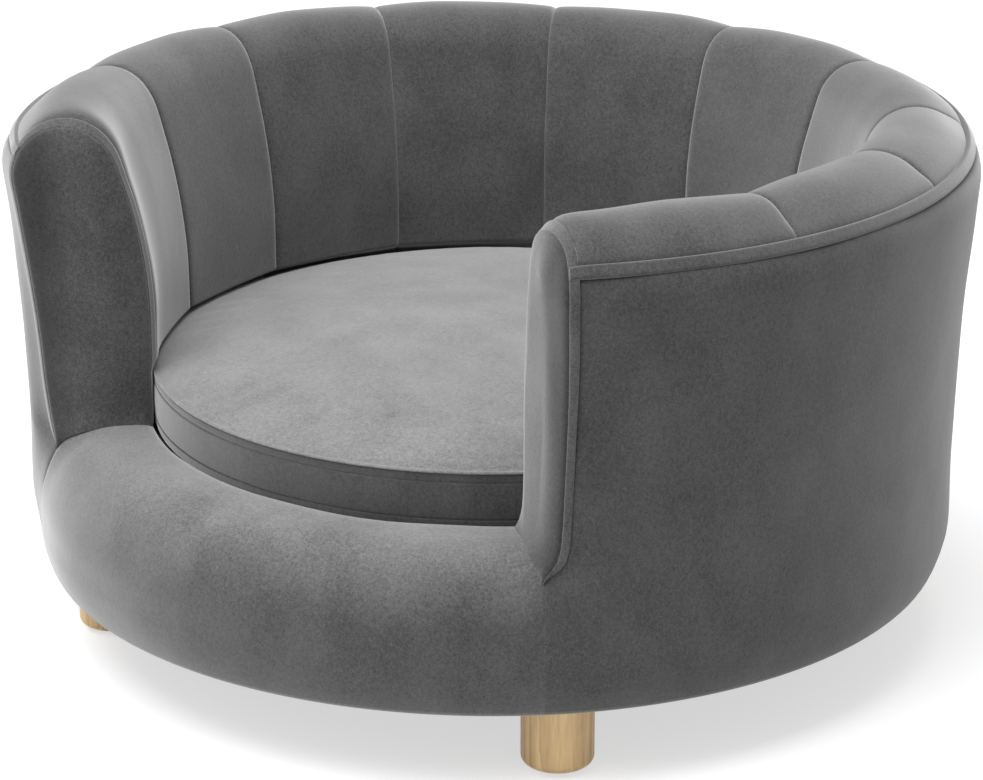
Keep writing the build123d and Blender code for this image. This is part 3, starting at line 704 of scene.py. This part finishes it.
# %% Crowned facing
def round_arm(side, radius, height, ahead):
    """Places on the swelled wall of a run that lies ahead of an arm's plane."""
    angle = arm_angles[side] - (1 if side == "right" else -1) * np.degrees(ahead / radius)
    radius, height = swell(radius, angle, height)
    return places(radius, angle, height)


facing_rings = [0, 0.5, 1.2, 2.2, 3.6, 5.5, 8, 11, 14.5, 18.5, 23, 28]
foot_radii = [250, 257, 265, 272, 282, 296, 304, 311, 320]
foot_aheads = [22.5, 25.6, 26, 25, 24.5, 24, 22.2, 19.3, 16.4]


def seam_ahead(outline):
    """How far an arm outline runs forward: the turn of the arm's end, and the outer seam's own line."""
    outer = np.arange(len(outline)) >= len(outline) - side_count
    line = np.where(outer, arm_line_ahead(outline[:, 1]) - arm_seam_ahead, 0)
    return line + arm_turned(outline[:, 0] + np.where(outer, drawn_in(outline[:, 1]), 0))


def facing_crown(distance):
    """The facing's height over its seam by the distance from it."""
    return 14 * (1 - np.clip(1 - distance / 34, 0, 1) ** 2.2) + 2.4 * (1 - np.exp(-distance / 1.0))


def facing(side):
    """The closed, crowned pad on one arm's end."""
    outlines, aheads = [], []
    for distance in facing_rings:
        outline = arm_outline(arm_inset + distance)
        rounder = 0.4 + 0.3 * smooth((outline[:, 0] - 290) / 30)
        ahead = seam_ahead(outline) + rounder * facing_crown(distance)
        above = outline[:, 1] - foot_height(outline[:, 0])
        foot = np.interp(outline[:, 0], foot_radii, foot_aheads)
        ahead = ahead + (foot - ahead) * np.exp(-np.clip(above, 0, None) / 9) * (above < 60)
        outlines.append(outline)
        aheads.append(ahead - (1.0 if distance == 0 else 0))
    outlines, aheads = np.array(outlines), np.array(aheads)
    front = round_arm(side, outlines[..., 0], outlines[..., 1], aheads)
    lumps = unevenness(front, 45)[..., None] * (np.array(facing_rings) / 34)[:, None, None]
    arm_turn = math.radians(arm_angles[side])
    forward = Vector((math.sin(arm_turn), -math.cos(arm_turn), 0)) * (1 if side == "right" else -1)
    front = front - lumps * 1.5 * MM * np.array(forward)
    bm = bmesh.new()
    rings = [[bm.verts.new(place) for place in ring] for ring in front]
    count = len(rings[0])
    for outer, inner in zip(rings, rings[1:]):
        for k in range(count - 1):
            bm.faces.new((outer[k], outer[k + 1], inner[k + 1], inner[k]))
    last = rings[-1]
    for k in range(count // 2 - 1):
        bm.faces.new((last[k], last[k + 1], last[count - 2 - k], last[count - 1 - k]))
    border = rings[0] + [ring[-1] for ring in rings[1:]] + [ring[0] for ring in rings[:0:-1]]
    into_wall = forward * 0.005 + Vector((0, 0, 0.0005))
    rear = [bm.verts.new(vert.co - into_wall) for vert in border]
    for k in range(len(border)):
        n = (k + 1) % len(border)
        bm.faces.new((border[k], border[n], rear[n], rear[k]))
    bm.faces.new(rear)
    return finish_mesh(f"{side}_arm_end", bm, 60)


# %% Double-stitched band behind each facing
def arm_band(side):
    """The closed strip of folded velvet behind a facing's seam."""
    outline = arm_outline(arm_inset)
    outward = normals(outline, 1)
    width = np.where(outline[:, 0] > roll_r, arm_band_at(outline[:, 1]), arm_band_width)
    across = np.array([0, 0.03, 0.1, 0.22, 0.4, 0.6, 0.78, 0.9, 0.97, 1.0])
    lift = np.array([-0.8, 0.2, 0.7, 1.1, 1.6, 2.0, 2.3, 2.4, 2.2, 1.2])
    shares = np.concatenate([across, across[::-1]])
    lift = lift * np.clip(width / arm_band_width, 0.1, 1)[:, None]
    lifts = np.concatenate([lift, np.full_like(lift, -4.0)], axis=1)
    radius = outline[:, :1] + outward[:, :1] * lifts
    level = outline[:, 1:] + outward[:, 1:] * lifts
    ahead = seam_ahead(outline)[:, None] - width[:, None] * shares
    return skin(f"{side}_arm_band", round_arm(side, radius, level, ahead), crease=60)


for side in arm_angles:
    end = dress(facing(side), end_velvet, f"{side}_arm_facing", f"{side}_arm_foam")
    dress(arm_band(side), band_velvet, f"{side}_arm_welt")

# %% [markdown]
# ## Band under the roll
# Where the outer cover meets the channels, its edge is folded over and stitched twice. The fold is a
# bright line, and the second row of stitches draws a thin dark groove about 9 mm below it.

# %% Outer band
band_rows, band_depth, seam_ring, band_ring = 16, 6.5, 334, 330
band_angles = np.linspace(seam_angle + 0.6, welt_angle, band_rows)
band_lift = np.interp(
    np.linspace(0, 1, band_rows),
    [0, 0.06, 0.15, 0.4, 0.75, 0.9, 1],
    [-0.9, 0.35, 0.95, 0.8, 0.6, 0.35, -0.9],
)
band_size = np.concatenate([roll_size + band_lift, np.full(band_rows, roll_size - band_depth)])
band_turn = np.radians(np.concatenate([band_angles, band_angles[::-1]]))
off_arm = half_opening - math.degrees((arm_seam_ahead - 0.8) / seam_ring)
round_angles = (off_arm - 90 + (360 - 2 * off_arm) * np.linspace(0, 1, 240))[:, None]
beside_arm = np.minimum(round_angles + 90, 270 - round_angles) - half_opening
beside_arm = np.radians(beside_arm) * band_ring
band_size = band_size - 2.2 * np.clip(1 - (beside_arm + arm_seam_ahead) / 9, 0, 1) ** 1.2
band_r, band_z = roll_r + band_size * np.cos(band_turn), roll_z + band_size * np.sin(band_turn)
band_r, band_z = swell(band_r, round_angles, band_z)
outer_band = skin("outer_band", places(band_r, round_angles, band_z))
dress(outer_band, wall_velvet, "outer_welt")

# %% [markdown]
# ## Loose cushion
# The cushion is a foam disc in a boxed cover: a crowned top panel, a plain band and a bottom panel. The
# seam between top and band stands out as a thin ring, and a row of stitches runs beside each edge of the
# band. A turned section with low random swells gives the plain form.
# Then the top is stuffed: the cloth solver blows up a remeshed copy whose seam is held, and the pad takes
# over the moves. The pad's own seam is finer than the copy and stays as it was sewn.

# %% Cushion sections
cushion_r, cushion_low, cushion_seam = 246.0, 154.3, 196.3
band_foot, band_top, held_height, held_ring = 158.3, 195.6, 197.5, 240
round_steps = np.linspace(0, 360, 241)[:-1][:, None]
crown = joined(
    arc(0, -2379.3, 2603.6, 90, 90 - 4.22, 26),
    arc(184.4, 117.5, 100, 90 - 4.22, 90 - 36.2, 26),
    [(245.0, 197.6), (245.9, 197.55), (246.5, 197.1), (246.75, 196.5), (246.5, 195.9), (245.6, 195.5)],
    [(240, 194), (236, 190), (0, 190)],
)
upper_stitches, lower_stitches = cushion_seam - 6.5, band_foot + 5.2
stitch_steps = np.array([1.1, 0.7, 0.3, 0, -0.3, -0.7, -1.1])
side_heights = np.concatenate(
    [
        np.linspace(band_top, upper_stitches + 1.6, 8),
        upper_stitches + stitch_steps,
        np.linspace(upper_stitches - 1.8, lower_stitches + 1.8, 12),
        lower_stitches + stitch_steps,
        np.linspace(lower_stitches - 1.8, band_foot, 4),
    ]
)


def band_side(height):
    """The band's radius: a slight fullness between two rows of stitches."""
    full = 0.8 * np.sin(np.pi * np.clip((height - band_foot) / (band_top - band_foot), 0, 1))
    rows = upper_stitches, lower_stitches
    grooves = sum(0.75 * np.exp(-(((height - row) / 0.55) ** 2)) for row in rows)
    return cushion_r + full - grooves


def side_run(heights):
    """The points of the band's side at some heights."""
    return np.stack([band_side(heights), heights], axis=1)


def turned(name, section, angles, ring=True):
    """A turned piece with soft swells that only draw it in, and a top still slack for the stuffing."""
    points = places(section[:, 0], angles, section[:, 1])
    swells = unevenness(points, 80) * smooth((section[:, 1] - 190) / 14)
    points[..., 2] -= 1.6 * MM * swells * (section[:, 0] < 244)
    slack = 2.6 * smooth((243 - section[:, 0]) / 28)
    slack = slack + 4.5 * np.clip(1 - (section[:, 0] / held_ring) ** 2, 0, 1)
    points[..., 2] -= MM * slack * (section[:, 1] > 198)
    return skin(name, points, ring=ring)


# %% Blow up a pad with the cloth solver
solver_voxel, solver_pressure, solver_frames, near_count = 0.006, 4.0, 20, 6
largest_move = 0.0055


def at_seam(place):
    """Whether a place of the cushion's top is at the seam, where thread holds the cloth."""
    ring = math.hypot(place[0], place[1] - axis_y * MM)
    return place[2] < held_height * MM or ring > held_ring * MM


def blown_up(piece, is_held, cap):
    """Swell a remeshed copy of a pad and give its moves, up to a cap, to the pad, whose seams stay."""
    scene = bpy.context.scene
    work = put("swelling", piece.data.copy())
    remesh = work.modifiers.new("remesh", "REMESH")
    remesh.mode, remesh.voxel_size = "VOXEL", solver_voxel
    graph = bpy.context.evaluated_depsgraph_get()
    work.data = bpy.data.meshes.new_from_object(work.evaluated_get(graph))
    work.modifiers.clear()
    start = np.array([vertex.co for vertex in work.data.vertices])
    held = work.vertex_groups.new(name="held")
    held.add([k for k, place in enumerate(start) if is_held(place)], 1.0, "REPLACE")
    cloth = work.modifiers.new("cloth", "CLOTH")
    cloth.settings.vertex_group_mass = "held"
    cloth.settings.use_pressure = True
    cloth.settings.uniform_pressure_force = solver_pressure
    cloth.settings.effector_weights.gravity = 0
    cloth.point_cache.frame_start, cloth.point_cache.frame_end = 1, solver_frames
    for frame_number in range(1, solver_frames + 1):
        scene.frame_set(frame_number)
    swollen = work.evaluated_get(bpy.context.evaluated_depsgraph_get()).data
    move = np.array([vertex.co for vertex in swollen.vertices]) - start
    reach = np.linalg.norm(move, axis=1, keepdims=True)
    move *= np.minimum(1, cap / np.maximum(reach, 1e-9))
    tree = kdtree.KDTree(len(start))
    for k, place in enumerate(start):
        tree.insert(place, k)
    tree.balance()
    for vertex in piece.data.vertices:
        if not is_held(vertex.co):
            near = tree.find_n(vertex.co, near_count)
            shares = np.array([1 / (0.001 + away) for _, _, away in near])
            vertex.co += Vector(shares @ move[[k for _, k, _ in near]] / shares.sum())
    scene.frame_set(1)
    bpy.data.objects.remove(work)
    most, kept = (round(float(length) / MM, 1) for length in (reach.max(), cap))
    print(piece.name, "swelled by up to", most, "mm, kept", kept)


# %% Top panel on its foam
cushion_top = turned("cushion_top", crown, round_steps)
blown_up(cushion_top, at_seam, largest_move)
dress(cushion_top, painted_light_velvet, "cushion_top_panel", "cushion_foam", body="cushion")

# %% Band with the recess for the zip, and the bottom panel
plain_band = joined(side_run(side_heights), [(238.0, band_foot), (238.0, 190.0)])
zip_low, zip_high, zip_floor = 169.3, 185.3, 237.5
recess = [(246.4, zip_high), (zip_floor, zip_high), (zip_floor, zip_low), (246.4, zip_low)]
above, below = side_heights[side_heights > zip_high], side_heights[side_heights < zip_low]
zip_band = joined(side_run(above), recess, side_run(below), [(236.5, band_foot), (236.5, 190.0)])
zip_from, zip_to = 29.4, 150.6
plain_part = turned("cushion_side", plain_band, np.linspace(zip_to, zip_from + 360, 180)[:, None], False)
zip_part = turned("cushion_side_back", zip_band, np.linspace(zip_from, zip_to, 90)[:, None], False)
bottom = joined(
    [(0, cushion_low), (120, cushion_low), (236, cushion_low)],
    arc(242, band_foot, 4, -90, 0, 8),
    [(238, band_foot), (236, 156), (0, 156)],
)
bottom_panel = turned("cushion_bottom", bottom, round_steps)
for part in (plain_part, zip_part):
    dress(part, wall_velvet, "cushion_band", body="cushion")
dress(bottom_panel, painted_light_velvet, "cushion_bottom_panel", body="cushion")

# %% [markdown]
# ## Leg wood
# The legs are turned from a pale, straight-grained hardwood and lacquered in satin. Long fibres run up
# the leg, growth rings cut across them as tall arches, and fine pores show as short dark flecks.


# %% Lacquered ash
def lacquered_ash(name):
    """Turned ash with upright grain in a satin lacquer."""
    material, tree, shader, place = new_finish(name)
    long_way = add_node(tree, "Mapping", Vector=place, Scale=(1, 1, 0.06))
    grain = noise_at(tree, long_way, 0.0035, 4.0, 0.6)
    fibre = noise_at(tree, long_way, 0.0008, 3.0, 0.6)
    tilted = add_node(tree, "Mapping", Vector=place, Rotation=(0.06, 0.05, 0), Scale=(1, 1, 0.25))
    kind = {"wave_type": "RINGS", "rings_direction": "Z", "wave_profile": "SAW"}
    wave = {"Scale": 1 / 0.019, "Distortion": 2.2, "Detail": 2.0, "Detail_Scale": 3.0}
    rings = add_node(tree, "TexWave", kind, Vector=tilted, **wave)
    figure = added_to(tree, added_to(tree, grain, rings.outputs[1], 0.35), fibre, 0.35)
    tone = toned(tree, figure, 0.5, 1.2, "#a8845a", "#d9bb88")
    relief = add_node(tree, "Bump", Strength=0.25, Distance=0.0002, Height=fibre)
    connect(tree, shader, tone, relief, Roughness=0.42, IOR=1.5)
    return material


# %% [markdown]
# ## Finishes of the hidden parts
# The frame under the velvet still gets its own finishes: rotary-cut plywood, sawn pine, thin fibreboard,
# black spun-bonded lining, zinc-plated steel and moulded nylon. Each is one noise at the right size
# over two tones, because only the underside and the zip are ever seen.


# %% One rule for plain finishes
def plain_finish(name, dark, light, grain_mm, stretch, roughness, metallic, bump):
    """Two tones under a grain of a size in millimetres, with a fine bump."""
    material, tree, shader, place = new_finish(name)
    drawn = add_node(tree, "Mapping", Vector=place, Scale=stretch)
    grain = noise_at(tree, drawn, grain_mm * MM, 4.0, 0.65)
    tone = toned(tree, grain, 0.3, 0.7, dark, light)
    relief = add_node(tree, "Bump", Strength=bump, Distance=0.0002, Height=grain)
    connect(tree, shader, tone, relief, Roughness=roughness, Metallic=metallic)
    return material


# A row is a slot's name, dark tone, light tone, grain in mm, stretch, roughness, metal share and bump.
even = (1, 1, 1)
plain_rows = {
    "plywood": ("rotary_cut_birch_plywood", "#a98a5e", "#cdb184", 2.5, (0.08, 1, 1), 0.7, 0.0, 0.3),
    "frame_wood": ("sawn_pine", "#b08c5a", "#d2b27c", 3.0, (1, 1, 0.05), 0.75, 0.0, 0.3),
    "fibreboard": ("pressed_fibreboard", "#5f4a35", "#7a6148", 1.2, even, 0.85, 0.0, 0.3),
    "lining": ("black_spunbond_lining", "#121213", "#202022", 0.9, even, 0.95, 0.0, 0.6),
    "zinc_steel": ("zinc_plated_steel", "#a9abb0", "#c2c4c8", 4.0, even, 0.38, 1.0, 0.1),
    "dark_plastic": ("moulded_black_nylon", "#1a1a1b", "#232325", 0.8, even, 0.5, 0.0, 0.15),
    "foam": ("cut_polyether_foam", "#cfc7a8", "#e2dcc2", 0.8, even, 0.95, 0.0, 0.8),
    "wadding": ("polyester_wadding", "#dcdcdc", "#eeeeee", 1.5, even, 0.98, 0.0, 0.8),
}
finishes = {slot: plain_finish(*row) for slot, row in plain_rows.items()}
finishes |= {"velvet": wall_velvet, "leg_wood": lacquered_ash("lacquered_ash")}
for part in frame["record"]["subparts"]:
    for holder in nodes[part["node"]].material_slots:
        holder.material = finishes[part["material_slot"]]
print("finishes", len(finishes))

# %% [markdown]
# ## Deck under the cushion
# The cushion lies on a deck of thin foam under black lining, which shows only when it is lifted out.

# %% Deck pad
deck_run = np.concatenate([np.linspace(0, 238, 24), [242, 245, 246.6, 247.2]])
deck_rise = np.interp(deck_run, [0, 238, 243, 247.2], [153.9, 153.9, 153.6, 151.5])
deck_section = joined(np.stack([deck_run, deck_rise], axis=1), [(247.2, 143.4), (0, 143.4)])
deck_points = places(deck_section[:, 0], round_steps, deck_section[:, 1])
deck_points[..., 2] -= 0.7 * MM * unevenness(deck_points, 40) * (deck_points[..., 2] > 0.150)
deck_pad = skin("deck_pad", deck_points, ring=True)
dress(deck_pad, finishes["lining"], "deck_cloth", "deck_foam", slot="lining")

# %% [markdown]
# ## Zip and dust cover
# The zip at the back of the cushion is two rows of moulded teeth on a woven tape. The underside is
# closed by a black non-woven cloth that is pulled tight and stapled every 15 degrees, which leaves
# small puckers.

# %% Zip tape and teeth
zip_mid, zip_start, zip_end = 177.3, 32.74, 147.26
tape_section = np.array([(237.65, 169.8), (238.45, 169.8), (238.45, 184.8), (237.65, 184.8)])
zip_angles = np.linspace(zip_start, zip_end, 120)[:, None]
tape = skin("zip_tape_weave", places(tape_section[:, 0], zip_angles, tape_section[:, 1]))
dress(tape, finishes["lining"], "zip_tape", slot="lining", body="cushion")
tooth_pitch, tooth_run, tooth_reach, tooth_foot, zip_ring = 2.4, 1.5, 2.9, 238.55, 239
tooth_outline = np.array([(-1, 0), (-0.75, 0.85), (0.75, 0.85), (1, 0)])
tooth_sizes = np.array([0.6, 1.0, 0.9, 0.7])[:, None]
bm = bmesh.new()
pitch_angle = math.degrees(tooth_pitch / zip_ring)
span = math.degrees(tooth_run / zip_ring) / 2
for number in range(int((zip_end - zip_start) / pitch_angle)):
    middle = zip_start + (number + 0.5) * pitch_angle
    side = 1 if number % 2 else -1
    low, high = zip_mid - 0.4 * side, zip_mid + side * (tooth_reach - 0.4)
    levels = np.array([low, zip_mid + 0.5 * side, high - 0.4 * side, high])[:, None]
    radii = tooth_foot + 1.6 * (0.2 + 0.8 * tooth_sizes) * tooth_outline[:, 1]
    add_skin(bm, places(radii, middle + span * tooth_sizes * tooth_outline[:, 0], levels))
teeth = finish_mesh("zip_teeth", bm, 40)
dress(teeth, finishes["dark_plastic"], "zip_chain", slot="dark_plastic", body="cushion")

# %% Dust cover
cover_radius, cover_low, cover_high, staple_count = 311.8, 56.1, 56.7, 24
cover_run = np.concatenate([np.linspace(0, 285, 20), np.linspace(290, cover_radius, 12)])
round_fine = np.linspace(0, 360, 361)[:-1][:, None]
pucker = 0.5 + 0.5 * np.cos(np.radians((round_fine - 7.5) * staple_count))
lift = 0.35 * pucker**3 * np.exp(-(((cover_run - 307.8) / 7) ** 2))
under = places(cover_run, round_fine, cover_low + lift)
over = places(cover_run[::-1], round_fine, cover_high)
dust_sheet = skin("dust_sheet", np.concatenate([under, over], axis=1), ring=True)
dress(dust_sheet, finishes["lining"], "dust_cover", slot="lining")

# %% [markdown]
# ## Plain studio
# The photograph shows the sofa cut out on white. One wide softbox overhead gives the glow of the pile
# and part of the pale roll, whose top is also painted paler, and a weak one in front and a pale room fill
# the rest. What the camera sees of the room is plain white, and the floor keeps a soft shadow.

# %% Floor
def seen_or_mirrored(tree):
    """1 for what the camera or a gloss looks at, 0 for the light that falls on things."""
    rays = add_node(tree, "LightPath").outputs
    seen, mirrored = rays["Is Camera Ray"], rays["Is Glossy Ray"]
    return add_node(tree, "Math", {"operation": "MAXIMUM"}, i0=seen, i1=mirrored)


bm = bmesh.new()
bmesh.ops.create_grid(bm, x_segments=8, y_segments=8, size=6)
floor = finish_mesh("floor", bm)
floor.location.z = -0.0005
floor_finish = bpy.data.materials.new("pale_paper_sweep")
tree = emptied(floor_finish)
paper = add_node(tree, "BsdfDiffuse", Color=linear("#e6e6e6"))
glow = add_node(tree, "Emission", Color=(1, 1, 1, 1), Strength=0.62)
shade = add_node(tree, "BsdfDiffuse", Color=(0.45, 0.45, 0.45, 1))
seen = add_node(tree, "AddShader", i0=glow, i1=shade)
pick = add_node(tree, "MixShader", i0=seen_or_mirrored(tree), i1=paper, i2=seen)
add_node(tree, "OutputMaterial", Surface=pick)
floor.data.materials.append(floor_finish)

# %% Room and softboxes
world = bpy.data.worlds.new("pale_room")
bpy.context.scene.world = world
tree = emptied(world)
white = add_node(tree, "Background", Color=(1, 1, 1, 1), Strength=1.0)
room = add_node(tree, "Background", Color=(1, 1, 1, 1), Strength=0.5)
pick = add_node(tree, "MixShader", i0=seen_or_mirrored(tree), i1=room, i2=white)
add_node(tree, "OutputWorld", Surface=pick)


def softbox(name, place, aim, size, power):
    """A square area light that points at a place."""
    lamp = bpy.data.lights.new(name, "AREA")
    lamp.shape = "SQUARE"
    lamp.size = size
    lamp.energy = power
    holder = put(name, lamp)
    holder.location = place
    holder.rotation_euler = (Vector(aim) - Vector(place)).to_track_quat("-Z", "Y").to_euler()


softbox("overhead_softbox", (-0.2, -0.6, 2.15), (0, 0, 0.2), 2.2, 100)
softbox("front_fill", (-0.6, -2.0, 1.9), (0, 0, 0.2), 1.6, 9)
bpy.context.scene.view_settings.view_transform = "Standard"
